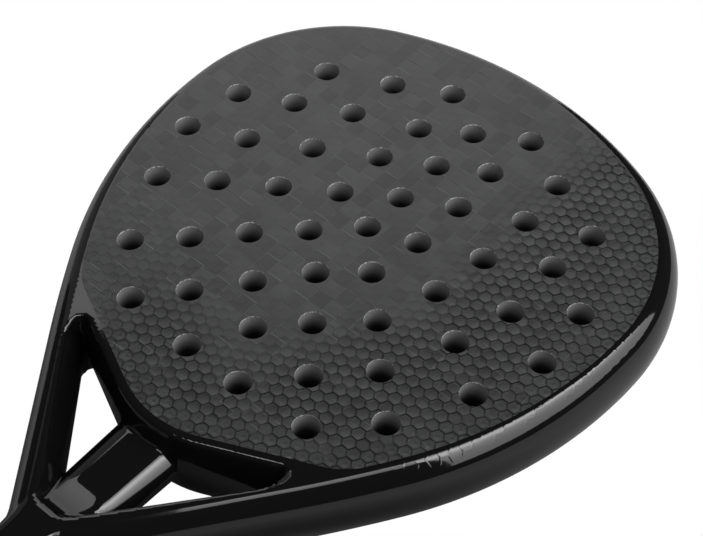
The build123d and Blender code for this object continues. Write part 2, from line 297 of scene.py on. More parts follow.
def throat_outline():
    """Right side of the throat opening, from its upper point to its foot."""
    rise = THROAT_HALF_WIDTH * tan(radians(V_ANGLE))
    corner_y = V_POINT_Y - BRIDGE_DROP / cos(radians(V_ANGLE))
    corners = (
        (-THROAT_HALF_WIDTH, corner_y + rise),
        (0, corner_y),
        (THROAT_HALF_WIDTH, corner_y + rise),
        (THROAT_HALF_WIDTH, THROAT_SIDE_Y),
        (0, THROAT_POINT_Y),
        (-THROAT_HALF_WIDTH, THROAT_SIDE_Y),
    )
    radii = (V_RADIUS + BRIDGE_DROP, THROAT_TOP_RADIUS, THROAT_SIDE_RADIUS, THROAT_POINT_RADIUS)
    return filleted(corners, radii)


OUTLINE = head_outline()
V_LINE = v_line()
THROAT = throat_outline()


def smooth_step(value, low, high):
    """0 below low, 1 above high and an S curve between."""
    part = np.clip((value - low) / (high - low), 0, 1)
    return part * part * (3 - 2 * part)


def smooth_min(a, b, width):
    """Smaller of two fields, rounded where they are within a width of each other."""
    near = np.clip(0.5 + 0.5 * (b - a) / width, 0, 1)
    return b * (1 - near) + a * near - width * near * (1 - near) * 0.5


def smooth_max(a, b, width):
    return -smooth_min(-a, -b, width)


def rounded_corner(a, b, radius):
    """Distance inside two walls whose corner is rounded."""
    round_off = radius - np.hypot(np.maximum(radius - a, 0), np.maximum(radius - b, 0))
    return np.where((a < radius) & (b < radius), round_off, np.minimum(a, b))


def outline_inset(x, y):
    return OUTLINE.distance(np.abs(x), y)


def above_v(x, y):
    return -V_LINE.distance(np.abs(x), y)


def face_depth(x, y):
    """Distance inside the outline of the face sheets."""
    side = outline_inset(x, y) - FACE_INSET
    return rounded_corner(side, above_v(x, y), FACE_CORNER_RADIUS)


def core_depth(x, y):
    """Distance inside the outline of the foam core."""
    return np.minimum(outline_inset(x, y) - RIM_WIDTH, above_v(x, y) - CORE_RISE)


def circle(centre, radius, count):
    """Points round a centre, at one radius or at one radius each."""
    angle = np.arange(count) * 2 * pi / count
    return np.stack((centre[0] + radius * np.cos(angle), centre[1] + radius * np.sin(angle)), axis=1)


def ray_reach(inside, centre, count, limit, halvings):
    """How far each ray from a centre runs before it leaves a region."""
    low = np.zeros(count)
    high = np.full(count, limit)
    for _ in range(halvings):
        middle = (low + high) / 2
        hit = inside(*circle(centre, middle, count).T)
        low = np.where(hit, middle, low)
        high = np.where(hit, high, middle)
    return low


def contour(depth, count=1440):
    """Outline of a region of the head that every ray from the head's middle leaves once."""
    centre = (0.0, HEAD_MIDDLE_Y)
    reach = ray_reach(lambda x, y: depth(x, y) > 0, centre, count, 200.0, 40)
    return circle(centre, reach, count)


def hole_centres():
    places = []
    for y, offsets in HOLE_ROWS:
        for x in offsets:
            places.append((x, y))
            if x > 0:
                places.append((-x, y))
    return places


# ---- meshes ----


def linked(name, data):
    item = bpy.data.objects.new(name, data)
    bpy.context.scene.collection.objects.link(item)
    return item


def spread_values(item, name, values):
    """Mesh attribute that the materials read, with one number per point."""
    attribute = item.data.attributes.new(name, "FLOAT", "POINT")
    attribute.data.foreach_set("value", np.asarray(values, np.float32))


def new_object(name, points, faces, smooth=True):
    """Object whose mesh has points in millimetres."""
    mesh = bpy.data.meshes.new(name)
    points = np.asarray(points, float) * MM
    mesh.from_pydata(points.tolist(), [], [list(map(int, face)) for face in faces])
    mesh.update()
    if smooth:
        mesh.shade_smooth()
    else:
        mesh.shade_flat()
    return linked(name, mesh)


def prism(outline, low_z, high_z):
    """Points and faces of an outline extruded upward."""
    count = len(outline)
    low = np.column_stack((outline, np.full(count, low_z)))
    high = np.column_stack((outline, np.full(count, high_z)))
    ring = range(count)
    faces = [list(reversed(ring)), [count + i for i in ring]]
    faces += [[i, (i + 1) % count, count + (i + 1) % count, count + i] for i in ring]
    return np.vstack((low, high)), faces


def joined(parts):
    """Several sets of points and faces as one."""
    points = []
    faces = []
    start = 0
    for part_points, part_faces in parts:
        points.append(part_points)
        faces += [[start + i for i in face] for face in part_faces]
        start += len(part_points)
    return np.vstack(points), faces


def drill_bits(radius):
    """All the drilled holes as one set of separate cylinders."""
    bits = [prism(circle(c, radius, HOLE_SIDES), -THICKNESS, 2 * THICKNESS) for c in hole_centres()]
    return joined(bits)


def carve(item, points, faces, operation):
    """Cut an object with a shape and apply the cut."""
    tool = new_object("cutter", points, faces)
    cut = item.modifiers.new("cut", "BOOLEAN")
    cut.object = tool
    cut.operation = operation
    cut.solver = "MANIFOLD"
    bake_modifiers(item)
    bpy.data.objects.remove(tool)


def bake_modifiers(item):
    depsgraph = bpy.context.evaluated_depsgraph_get()
    result = bpy.data.meshes.new_from_object(item.evaluated_get(depsgraph))
    item.modifiers.clear()
    item.data = result


def crisp(item, degrees):
    """Smooth shading that stays sharp where faces meet at more than an angle."""
    item.data.shade_smooth()
    item.data.set_sharp_from_angle(angle=radians(degrees))


# ---- moulding ----


def throat_wall(x, y):
    """Square of the half thickness of the walls round the throat opening, without the rib."""
    opening = THROAT.distance(np.abs(x), y)
    foot_to_side = np.array((THROAT_HALF_WIDTH, THROAT_SIDE_Y - THROAT_POINT_Y))
    ahead = foot_to_side / np.hypot(*foot_to_side)
    from_arm = ahead[0] * (y - THROAT_POINT_Y) - ahead[1] * np.abs(x)
    from_bridge = -above_v(x, y) - BRIDGE_DROP
    corner = 1 - opening / CORNER_WALL
    arm = 1 - from_arm / ARM_BULGE
    bridge = 1 - from_bridge / BRIDGE_BULGE
    cap = WALL_FIELD_CAP
    walls = smooth_max(np.minimum(arm, cap), np.minimum(bridge, cap), BULGE_BLEND)
    walls = np.where(opening > 0, walls, cap)
    return MID_Z**2 * smooth_max(corner, walls, CORNER_BLEND)


def rib_square(x, y):
    """Square of the rib's half thickness."""
    part = (RIB_TOP_Y - y) / (RIB_TOP_Y - RIB_END_Y)
    half_width = RIB_TOP_HALF_WIDTH + (RIB_END_HALF_WIDTH - RIB_TOP_HALF_WIDTH) * part
    flat = RIB_FLAT_HALF_WIDTH - RIB_SHOULDER_START
    out = np.maximum(np.abs(x) - flat, 0) / (half_width - flat)
    side = 1 - (1 + RIB_SHOULDER) * out**2 / (RIB_SHOULDER + out)
    climb = np.clip((RAMP_START_Y - y) / (RAMP_START_Y - RAMP_END_Y), 0, 1) ** RAMP_POWER
    height = RIB_HALF_THICKNESS + (MID_Z - RIB_HALF_THICKNESS) * climb
    return height**2 * side


def outer_square(x, y):
    """Square of the moulding's half thickness, as if it had no opening for the core."""
    inset = outline_inset(x, y)
    thin = smooth_step(-y, -SHAFT_TOP_Y - NECK_BLEND, -SHAFT_TOP_Y)
    half = MID_Z + (SHAFT_HALF_HEIGHT - MID_Z) * thin
    depth = EDGE_DEPTH + (SHAFT_ROUND - EDGE_DEPTH) * thin
    power = EDGE_POWER + (2 - EDGE_POWER) * thin
    edge = half**2 * (1 - (np.maximum(depth - inset, 0) / depth) ** power)
    edge = np.where(inset > 0, edge, half**2 * inset / depth)
    body = smooth_min(edge, throat_wall(x, y), EDGE_BLEND)
    in_throat = (y < RIB_TOP_Y) & (y > THROAT_POINT_Y - RIB_TAIL)
    in_throat = in_throat & (np.abs(x) < RIB_TOP_HALF_WIDTH + RIB_MARGIN)
    rib = np.where(in_throat, rib_square(x, y), -MID_Z**2)
    body = np.where(in_throat, smooth_max(body, rib, WALL_BLEND), body)
    return np.minimum(body, MID_Z**2)


def moulding_square(x, y):
    """Square of the moulding's half thickness over its plan, negative outside it."""
    inner_wall = MID_Z**2 * (RIM_WIDTH - FACE_INSET - face_depth(x, y)) / RECESS_WALL
    body = smooth_min(outer_square(x, y), inner_wall, EDGE_BLEND)
    return np.minimum(body, MID_Z**2 * (y - SHAFT_END_Y) / SHAFT_END_WALL)


def graded(*spans):
    """Grid lines from (start, end, step) spans that follow each other."""
    lines = []
    for start, end, step in spans:
        count = ceil((end - start) / step)
        lines.append(start + (end - start) * np.arange(count) / count)
    lines.append([spans[-1][1]])
    return np.concatenate(lines)


CUBE = np.array([(i, j, k) for i in (0, 1) for j in (0, 1) for k in (0, 1)])
CUBE_EDGES = [
    (a, b) for a in range(8) for b in range(a + 1, 8) if np.abs(CUBE[a] - CUBE[b]).sum() == 1
]


def surface_net(field, lines):
    """Quads round the cells of a grid in which a field changes sign."""
    inside = field < 0
    counts = sum(
        inside[i : i - 1 or None, j : j - 1 or None, k : k - 1 or None].astype(np.int8)
        for i, j, k in CUBE
    )
    cells = np.argwhere((counts > 0) & (counts < 8))
    number = np.full(counts.shape, -1, np.int64)
    number[tuple(cells.T)] = np.arange(len(cells))
    values = np.stack([field[tuple((cells + corner).T)] for corner in CUBE])
    places = []
    for corner in CUBE:
        index = cells + corner
        places.append(np.stack([lines[axis][index[:, axis]] for axis in range(3)], axis=1))
    total = np.zeros((len(cells), 3))
    hits = np.zeros((len(cells), 1))
    for a, b in CUBE_EDGES:
        crossing = (values[a] < 0) != (values[b] < 0)
        span = np.where(crossing, values[a] - values[b], 1.0)
        part = np.where(crossing, values[a] / span, 0.0)[:, None]
        point = places[a] + (places[b] - places[a]) * part
        total += np.where(crossing[:, None], point, 0)
        hits += crossing[:, None]
    points = total / hits
    faces = []
    for axis in range(3):
        u = (axis + 1) % 3
        v = (axis + 2) % 3
        low = [slice(None)] * 3
        high = [slice(None)] * 3
        low[axis] = slice(None, -1)
        high[axis] = slice(1, None)
        for side in (u, v):
            low[side] = slice(1, -1)
            high[side] = slice(1, -1)
        start = inside[tuple(low)]
        end = inside[tuple(high)]
        for from_in in (True, False):
            edges = np.argwhere((start != end) & (start == from_in))
            edges[:, u] += 1
            edges[:, v] += 1
            step_u = np.eye(3, dtype=int)[u]
            step_v = np.eye(3, dtype=int)[v]
            around = (edges - step_u - step_v, edges - step_v, edges, edges - step_u)
            quad = np.stack([number[tuple(cell.T)] for cell in around], axis=1)
            faces.append(quad if from_in else quad[:, ::-1])
    return points, np.vstack(faces)


def slope_of(square, points, step=0.05):
    """Slope in space, at points, of the field z**2 minus a square that is given over the plan."""
    x, y, z = points.T
    across = (square(x + step, y) - square(x - step, y)) / (2 * step)
    along = (square(x, y + step) - square(x, y - step)) / (2 * step)
    return np.stack((-across, -along, 2 * z), axis=1)


def moulding_mesh():
    """Frame, bridge and rib as the one smooth moulding that they are from outside."""
    side = hoop_high[0] + GRID_MARGIN
    lines = (
        graded(
            (-side, -FINE_X, GRID_COARSE),
            (-FINE_X, FINE_X, GRID_FINE),
            (FINE_X, side, GRID_COARSE),
        ),
        graded(
            (SHAFT_END_Y - 4, FINE_LOW_Y, GRID_SHAFT),
            (FINE_LOW_Y, FINE_HIGH_Y, GRID_FINE),
            (FINE_HIGH_Y, TIP_Y + GRID_MARGIN, GRID_COARSE),
        ),
        graded((-MID_Z - GRID_MARGIN, MID_Z + GRID_MARGIN, GRID_Z)),
    )
    plan_x, plan_y = np.meshgrid(lines[0], lines[1], indexing="ij")
    square = moulding_square(plan_x, plan_y)
    field = lines[2][None, None, :] ** 2 - square[:, :, None]
    points, faces = surface_net(field, lines)
    for _ in range(4):
        x, y, z = points.T
        slope = slope_of(moulding_square, points)
        value = z**2 - moulding_square(x, y)
        size = np.maximum((slope**2).sum(axis=1), 1.0)
        step = np.clip(value / size, -0.05, 0.05)
        points = points - slope * step[:, None]
    return points, faces


def moulding_normals(points):
    """Directions of the moulding's surface at points on it, eased over its tight corners."""
    slope = slope_of(outer_square, points, NORMAL_REACH)
    return slope / np.maximum(np.linalg.norm(slope, axis=1), 1e-6)[:, None]


def shade_moulding(item):
    """Eased normals for the gloss, and flat ones in the recesses that the faces lie in."""
    mesh = item.data
    spots = np.zeros(len(mesh.vertices) * 3)
    mesh.vertices.foreach_get("co", spots)
    spots = spots.reshape(-1, 3) / MM - (0, 0, MID_Z)
    smooth = moulding_normals(spots)
    corners = np.zeros(len(mesh.loops), np.int32)
    mesh.loops.foreach_get("vertex_index", corners)
    flat = np.zeros(len(mesh.polygons) * 3)
    mesh.polygons.foreach_get("normal", flat)
    sizes = np.zeros(len(mesh.polygons), np.int32)
    mesh.polygons.foreach_get("loop_total", sizes)
    flat = np.repeat(flat.reshape(-1, 3), sizes, axis=0)
    normals = smooth[corners]
    recess = face_depth(spots[:, 0], spots[:, 1])[corners] > -0.05
    apart = recess & ((normals * flat).sum(axis=1) < 0.5)
    normals[apart] = flat[apart]
    mesh.shade_smooth()
    mesh.normals_split_custom_set(normals.tolist())
    return spots


def print_through(x, y):
    """Where the lattice under the paint shows on the rim: beside the face's lower right edge."""
    depth = face_depth(x, y)
    beside = smooth_step(depth, *PRINT_OUTER) * smooth_step(-depth, *PRINT_INNER)
    right = smooth_step(x, *PRINT_X) * smooth_step(-y, *PRINT_BELOW_Y)
    return beside * right * smooth_step(above_v(x, y), *PRINT_ABOVE_V)


def make_moulding():
    points, faces = moulding_mesh()
    item = new_object("frame_moulding", points + (0, 0, MID_Z), faces)
    edge = contour(face_depth)
    front = prism(edge, THICKNESS - FACE_THICKNESS, THICKNESS + 2)
    back = prism(edge, -2.0, FACE_THICKNESS)
    carve(item, *joined((front, back)), "DIFFERENCE")
    spots = shade_moulding(item)
    spread_values(item, "print_through", print_through(spots[:, 0], spots[:, 1]))
    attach(item, "root")
    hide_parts("frame_tube", "throat_bridge", "throat_spine")
    return item


# ---- embossed face sheets and core ----


def relief_strength(x, y):
    """How deep the hexagons are pressed: fully at the right and by the V, hardly elsewhere."""
    border = np.minimum((y - BORDER_START_Y) / BORDER_SLOPE, BORDER_END_X)
    right = smooth_step(x - border, *BORDER_FADE)
    leftward = LEFT_LEAST + (1 - LEFT_LEAST) * smooth_step(x, *LEFT_FADE)
    by_v = (1 - smooth_step(above_v(x, y), *V_FADE)) * leftward
    return RELIEF_LEAST + (1 - RELIEF_LEAST) * np.maximum(right, by_v)


def cell_centres():
    """Hexagon centres over the whole head, with one column on the middle line."""
    columns = ceil(hoop_high[0] / COLUMN_STEP)
    low_row = int(V_POINT_Y // CELL_STEP) - 1
    high_row = ceil(TIP_Y / CELL_STEP)
    centres = []
    for column in range(-columns, columns + 1):
        for row in range(low_row, high_row + 1):
            shift = 0.5 if column % 2 else 0.0
            centres.append((column * COLUMN_STEP, (row + shift) * CELL_STEP))
    centres = np.array(centres)
    depth = face_depth(centres[:, 0], centres[:, 1])
    return centres[depth > -CELL_STEP]


def hexagon_plate():
    """Plate of hexagonal cells with raised edges, on a flat back at minus its thickness."""
    centres = cell_centres()
    angles = radians(60) * np.arange(6)
    unit = np.stack((np.cos(angles), np.sin(angles)), axis=1)
    points = []
    numbers = {}
    faces = []

    def corner(x, y, z):
        key = (round(x * 100), round(y * 100), z)
        if key not in numbers:
            numbers[key] = len(points)
            points.append((x, y, z))
        return numbers[key]

    depth = face_depth(centres[:, 0], centres[:, 1])
    edge_count = {}
    strength = relief_strength(centres[:, 0], centres[:, 1])
    for centre, inside, amount in zip(centres, depth, strength):
        rim = [corner(*(centre + CELL_RADIUS * u), 0.0) for u in unit]
        base = [corner(*(centre + CELL_RADIUS * u), -FACE_THICKNESS) for u in unit]
        near_edge = float(smooth_step(-inside, -DIMPLE_REACH, -DIMPLE_FULL))
        dimple = DIMPLE_DEPTH * amount * near_edge
        rings = [(scale, -EMBOSS_DEPTH * amount * part) for scale, part in CELL_PROFILE]
        floor = -EMBOSS_DEPTH * amount
        if dimple > DIMPLE_LEAST:
            rings.append((DIMPLE_RIM, floor + DIMPLE_LIP * dimple))
            rings.append((DIMPLE_CORE, floor - dimple))
        outer = rim
        for scale, z in rings:
            ring = []
            for u in unit:
                spot = centre + CELL_RADIUS * scale * u
                ring.append(len(points))
                points.append((spot[0], spot[1], z))
            for i in range(6):
                j = (i + 1) % 6
                faces.append((outer[i], outer[j], ring[j], ring[i]))
            outer = ring
        faces.append(tuple(outer))
        faces.append(tuple(reversed(base)))
        for i in range(6):
            j = (i + 1) % 6
            edge_count[(rim[i], rim[j])] = (base[i], base[j])
    for (a, b), (base_a, base_b) in edge_count.items():
        if (b, a) not in edge_count:
            faces.append((a, base_a, base_b, b))
    return np.array(points), faces


def place_plate(points, faces, front):
    """Plate moved to its side of the racket, facing outward."""
    if front:
        return points + (0, 0, THICKNESS), faces
    turned = points * (1, 1, -1)
    return turned, [tuple(reversed(face)) for face in faces]


def make_face(name, front):
    points, faces = place_plate(*hexagon_plate(), front)
    item = new_object(name, points, faces)
    low = THICKNESS - 2.0 if front else -1.0
    carve(item, *prism(contour(face_depth), low, low + 3.0), "INTERSECT")
    carve(item, *drill_bits(HOLE_RADIUS), "DIFFERENCE")
    crisp(item, 30)
    spots = np.array([vertex.co[:2] for vertex in item.data.vertices]) / MM
    spread_values(item, "relief", relief_strength(*spots.T))
    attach(item, "root")
    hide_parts(name)
    return item


def mark_cut_edges(item):
    """Second material for the upright walls of the drilled holes."""
    for face in item.data.polygons:
        if abs(face.normal.z) < 0.1:
            face.material_index = 1


def make_core():
    item = new_object("foam_core_plate", *prism(contour(core_depth), core_low[2], core_high[2]))
    carve(item, *drill_bits(HOLE_RADIUS + FOAM_CLEARANCE), "DIFFERENCE")
    crisp(item, 30)
    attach(item, "root")
    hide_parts("foam_core")
    return item


# ---- handle ----

SECTION_POINTS = 224
GRIP_WIDTH = 34.0
GRIP_HEIGHT = 31.0
GRIP_CHAMFER = 9.0
FLARE_START_Y = -205.0
WIND_PITCH = 26.0
WIND_STEP = 0.7
PERFORATION_STEP = 4.0
PERFORATION_DEPTH = 0.38
LAP_ENDS = (0.74, 0.90)
STRIP_CROWN = 0.25
STRIP_SINK = 0.35
LAP_GROOVE_DEPTH = 0.45
LAP_GROOVE_WIDTH = 0.9
TAPE_TURNS = 2.6
TAPE_THICKNESS = 0.30
TAPE_LAP = 0.16
TAPE_LEAN = 0.10
COLLAR_THICKNESS = 1.9
COLLAR_ROUND = 1.2
COLLAR_GROOVE_DEPTH = 0.35
COLLAR_GROOVE_STEP = 3.5
SKIRT_TOP_Y = -208.0
CORD_HOLE_RADIUS = 3.5

# Cap's end, from its cord hole out: each loop's height, and how far it is out from the hole in the
# raised ring, or in from the cap's side beyond it.
CORD_RING = ((1.4, 0), (0.9, 0.15), (0.6, 0.6), (0.6, 1.6), (0.3, 2.0), (0.3, 2.6), (0.6, 3.0))
CAP_END = ((0.6, 5.2), (0.15, 4.6), (0, 4.0), (0, 1.6), (0.12, 0.9), (0.45, 0.4), (0.9, 0.12), (1.5, 0))

# How far each skin of the handle stands outside the shaft's own surface.
GRIP_INSIDE = 0.05
GRIP_OVER_SKIRT = 0.95
SKIRT_OUTSIDE = 0.9
SKIRT_INSIDE = 0.02
PLUG_OUTSIDE = -1.65
PLUG_INSIDE = -4.1

section_angles = np.arange(SECTION_POINTS) * 2 * pi / SECTION_POINTS


def ray_radii(level):
    """Radius at each section angle where a level function of x and z passes zero."""
    return ray_reach(lambda x, z: level(x, z) <= 0, (0, 0), SECTION_POINTS, 40.0, 30)


def octagon(width, height, softness=2.2):
    """Radii of the rounded octagon of the wound handle."""

    def level(x, z):
        side = np.abs(x) - width / 2
        top = np.abs(z) - height / 2
        corner = (side + top + GRIP_CHAMFER) / sqrt(2)
        return smooth_max(smooth_max(side, top, softness), corner, softness)

    return ray_radii(level)


def shaft_oval(margin=0.0):
    """Radii of the flat-sided oval of the shaft."""
    flat = SHAFT_HALF_WIDTH - SHAFT_ROUND

    def level(x, z):
        side = np.maximum(np.abs(x) - flat, 0) / (SHAFT_ROUND + margin)
        return side**2 + (z / (SHAFT_HALF_HEIGHT + margin)) ** 2 - 1

    return ray_radii(level)


def handle_radii(y, offset=0.0):
    """Radii of the grip at a height, moved out by an offset."""
    flare = float(smooth_step(FLARE_START_Y - y, 0, FLARE_START_Y - cap_high[1] - 3.0))
    grow = 2 * offset + (cap_high[0] - cap_low[0] - GRIP_WIDTH) * flare
    return octagon(GRIP_WIDTH + grow, GRIP_HEIGHT + grow)


def ring_object(name, loops):
    """Closed tube whose skin runs through loops of (height, radii) and back to the first."""
    points = []
    for y, radii in loops:
        x = radii * np.cos(section_angles)
        z = radii * np.sin(section_angles) + MID_Z
        points.append(np.stack((x, np.broadcast_to(y, x.shape), z), axis=1))
    count = SECTION_POINTS
    faces = []
    for loop in range(len(loops)):
        start = loop * count
        after = (loop + 1) % len(loops) * count
        for i in range(count):
            j = (i + 1) % count
            faces.append((start + i, after + i, after + j, start + j))
    return new_object(name, np.vstack(points), faces)


def perforations(y):
    """Depth of the rows of pinholes round the grip at a height."""
    arc = section_angles * GRIP_WIDTH / 2
    columns = round(GRIP_WIDTH * pi / PERFORATION_STEP)
    step = GRIP_WIDTH * pi / columns
    depth = np.zeros(SECTION_POINTS)
    for shift in (0.0, 0.5):
        across = (arc / step + shift) % 1 - 0.5
        along = (y / PERFORATION_STEP + shift) % 1 - 0.5
        gap = np.hypot(across * step, along * PERFORATION_STEP)
        depth = np.maximum(depth, 1 - smooth_step(gap, 0.35, 0.8))
    return depth * PERFORATION_DEPTH


def winding(y):
    """Height of the helical strip: each turn laps over the edge of the one before."""
    phase = (y / WIND_PITCH + section_angles / (2 * pi)) % 1
    lap = smooth_step(phase, *LAP_ENDS)
    edge = np.minimum(phase, 1 - phase) * WIND_PITCH
    crown = STRIP_CROWN * np.sin(pi * phase) ** 2
    groove = LAP_GROOVE_DEPTH * np.exp(-((edge / LAP_GROOVE_WIDTH) ** 2))
    return lap * WIND_STEP + crown - groove - STRIP_SINK


def make_grip():
    top = grip_high[1] - 0.5
    end = grip_low[1]
    loops = []
    for y in np.arange(top, end - 0.01, -0.5):
        free = smooth_step(-y, -tape_low[1] + 0.5, -tape_low[1] + 4.0)
        near_cap = smooth_step(y, end, end + 2.0)
        relief = free * (winding(y) * near_cap - perforations(y)) - 0.3 * (1 - free)
        loops.append((y, handle_radii(y) + relief))
    loops.append((end, shaft_oval(GRIP_OVER_SKIRT)))
    loops.append((SKIRT_TOP_Y, shaft_oval(GRIP_OVER_SKIRT)))
    loops.append((SKIRT_TOP_Y, shaft_oval(GRIP_INSIDE)))
    loops.append((top, shaft_oval(GRIP_INSIDE)))
    item = ring_object("wound_grip", loops)
    crisp(item, 50)
    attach(item, "root")
    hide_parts("base_grip")
    return item


def make_tape():
    top = tape_high[1]
    end = tape_low[1]
    turn = (top - end) / TAPE_TURNS
    loops = []
    for y in np.arange(top, end - 0.01, -0.35):
        phase = ((y - end) / turn + section_angles / (2 * pi)) % 1
        lap = TAPE_LAP * smooth_step(phase, 0.0, 0.06) - TAPE_LEAN * phase
        edge = min(y - end, top - y)
        rolled = 0.15 * float(1 - smooth_step(edge, 0, 0.4))
        loops.append((y, handle_radii(y, TAPE_THICKNESS) + lap - rolled))
    loops.append((end, handle_radii(end, 0.0)))
    loops.append((top, handle_radii(top, 0.0)))
    item = ring_object("tie_off_tape", loops)
    crisp(item, 50)
    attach(item, "root")
    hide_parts("finishing_tape")
    return item


def make_collar():
    top = collar_high[1]
    end = collar_low[1]
    full = COLLAR_ROUND
    loops = []
    for y in np.arange(top, end - 0.01, -0.25):
        edge = min(y - end, top - y)
        round_off = full - sqrt(max(full**2 - max(full - edge, 0) ** 2, 0))
        groove = 0.0
        if edge > 2.0:
            groove = COLLAR_GROOVE_DEPTH * cos(pi * (y - end) / COLLAR_GROOVE_STEP) ** 8
        loops.append((y, handle_radii(y, COLLAR_THICKNESS - round_off - groove)))
    loops.append((end, handle_radii(end, 0.45)))
    loops.append((grip_high[1] - 0.4, handle_radii(end, 0.45)))
    loops.append((grip_high[1] - 0.4, shaft_oval(0.6)))
    loops.append((top, shaft_oval(0.9)))
    item = ring_object("rubber_collar", loops)
    crisp(item, 40)
    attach(item, "root")
    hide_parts("grip_collar")
    return item


def make_cap():
    """Butt cap: a flared end with a recessed middle, a skirt over the shaft and a plug in it."""
    end = cap_low[1]
    rim_y = grip_low[1]
    width = cap_high[0] - cap_low[0]
    height = cap_high[2] - cap_low[2]

    def disc(shrink):
        return octagon(width - 2 * shrink, height - 2 * shrink)

    hole = np.full(SECTION_POINTS, CORD_HOLE_RADIUS)
    plug_wall = shaft_oval(PLUG_INSIDE)
    loops = [(end + rise, hole + grow) for rise, grow in CORD_RING]
    loops += [(end + rise, disc(shrink)) for rise, shrink in CAP_END]
    loops += [
        (rim_y - 0.5, disc(0.0)),
        (rim_y - 0.1, disc(0.15)),
        (rim_y, disc(0.5)),
        (rim_y, shaft_oval(SKIRT_OUTSIDE)),
        (SKIRT_TOP_Y, shaft_oval(SKIRT_OUTSIDE)),
        (SKIRT_TOP_Y, shaft_oval(SKIRT_INSIDE)),
        (rim_y, shaft_oval(SKIRT_INSIDE)),
        (rim_y, shaft_oval(PLUG_OUTSIDE)),
        (cap_high[1], shaft_oval(PLUG_OUTSIDE)),
        (cap_high[1], plug_wall),
        (rim_y, plug_wall),
        (rim_y, hole),
    ]
    item = ring_object("end_cap", list(reversed(loops)))
    crisp(item, 35)
    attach(item, "root")
    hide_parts("butt_cap")
    return item


# ---- materials ----


class Number:
    """A node output that can be used in sums."""

    def __init__(self, look, socket):
        self.look = look
        self.socket = socket

    def __add__(self, other):
        return self.look.math("ADD", self, other)

    def __sub__(self, other):
        return self.look.math("SUBTRACT", self, other)

    def __rsub__(self, other):
        return self.look.math("SUBTRACT", other, self)

    def __mul__(self, other):
        return self.look.math("MULTIPLY", self, other)

    def __mod__(self, other):
        return self.look.math("FLOORED_MODULO", self, other)


class Look:
    """A node material, built from short calls."""

    def __init__(self, name):
        self.material = bpy.data.materials.new(name)
        self.material.use_nodes = True
        self.nodes = self.material.node_tree.nodes
        self.links = self.material.node_tree.links
        self.shader = self.nodes["Principled BSDF"]
        self.place = self.node("ShaderNodeTexCoord").outputs["Object"]

    def feed(self, socket, value):
        value = getattr(value, "socket", value)
        if isinstance(value, bpy.types.NodeSocket):
            self.links.new(value, socket)
        else:
            socket.default_value = value

    def node(self, kind, inputs=(), **settings):
        node = self.nodes.new(kind)
        for key, value in settings.items():
            setattr(node, key, value)
        for key, value in dict(inputs).items():
            self.feed(node.inputs[key], value)
        return node

    def math(self, operation, *values):
        node = self.node("ShaderNodeMath", operation=operation)
        for socket, value in zip(node.inputs, values):
            self.feed(socket, value)
        return Number(self, node.outputs[0])

    def axes(self):
        """Place on the racket in millimetres, as three numbers."""
        node = self.node("ShaderNodeSeparateXYZ", {"Vector": self.place})
        return [Number(self, out) * 1000.0 for out in node.outputs]

    def noise(self, scale, detail=2.0, rough=0.5, stretch=(1, 1, 1)):
        """Noise from 0 to 1, with its scale in waves per millimetre."""
        place = self.node("ShaderNodeMapping", {"Vector": self.place, "Scale": stretch}).outputs[0]
        inputs = {"Vector": place, "Scale": scale * 1000, "Detail": detail, "Roughness": rough}
        return Number(self, self.node("ShaderNodeTexNoise", inputs).outputs[0])

    def specks(self, scale, size):
        """Scattered round specks, 1 at their middles."""
        inputs = {"Vector": self.place, "Scale": scale * 1000}
        gap = self.node("ShaderNodeTexVoronoi", inputs).outputs["Distance"]
        return self.ramp(gap, size, 0.0)

    def ramp(self, value, low, high, to_low=0.0, to_high=1.0):
        """S curve from to_low at low to to_high at high."""
        names = ("Value", "From Min", "From Max", "To Min", "To Max")
        inputs = zip(names, (value, low, high, to_low, to_high))
        node = self.node("ShaderNodeMapRange", inputs, interpolation_type="SMOOTHSTEP")
        return Number(self, node.outputs[0])

    def blend(self, factor, a, b):
        """Colour between two others."""
        inputs = {"Factor": factor, "A": (*a, 1), "B": (*b, 1)}
        node = self.nodes.new("ShaderNodeMix")
        node.data_type = "RGBA"
        for socket in node.inputs:
            if socket.enabled and socket.name in inputs:
                self.feed(socket, inputs[socket.name])
        return next(out for out in node.outputs if out.enabled)

    def attribute(self, name):
        """Number that the mesh carries at each point."""
        return Number(self, self.node("ShaderNodeAttribute", attribute_name=name).outputs["Fac"])

    def bump(self, height, distance):
        """Surface relief, with its distance in millimetres."""
        inputs = {"Height": height, "Distance": distance * MM, "Strength": 1.0}
        return self.node("ShaderNodeBump", inputs).outputs[0]

    def set(self, **values):
        """Sockets of the shader, by name with underscores for spaces."""
        for key, value in values.items():
            self.feed(self.shader.inputs[key.replace("_", " ")], value)
        return self.material


def in_hexagon(look, x, y):
    """Place in its own cell of the embossed lattice, from the cell's middle."""
    places = []
    for shift in (0.0, 1.0):
        u = (x + COLUMN_STEP * (1 - shift)) % (2 * COLUMN_STEP) - COLUMN_STEP
        v = (y + CELL_STEP / 2 * (1 - shift)) % CELL_STEP - CELL_STEP / 2
        places.append((u, v))
    first, second = (hexagon_distance(look, *place) for place in places)
    nearer = look.math("LESS_THAN", first, second)
    return [a * nearer + b * (1.0 - nearer) for a, b in zip(*places)]


def hexagon_distance(look, u, v):
    """Distance from a cell's middle, measured straight towards its nearest side."""
    across = look.math("ABSOLUTE", u) * (sqrt(3) / 2)
    along = look.math("ABSOLUTE", v)
    return look.math("MAXIMUM", along, across + along * 0.5)


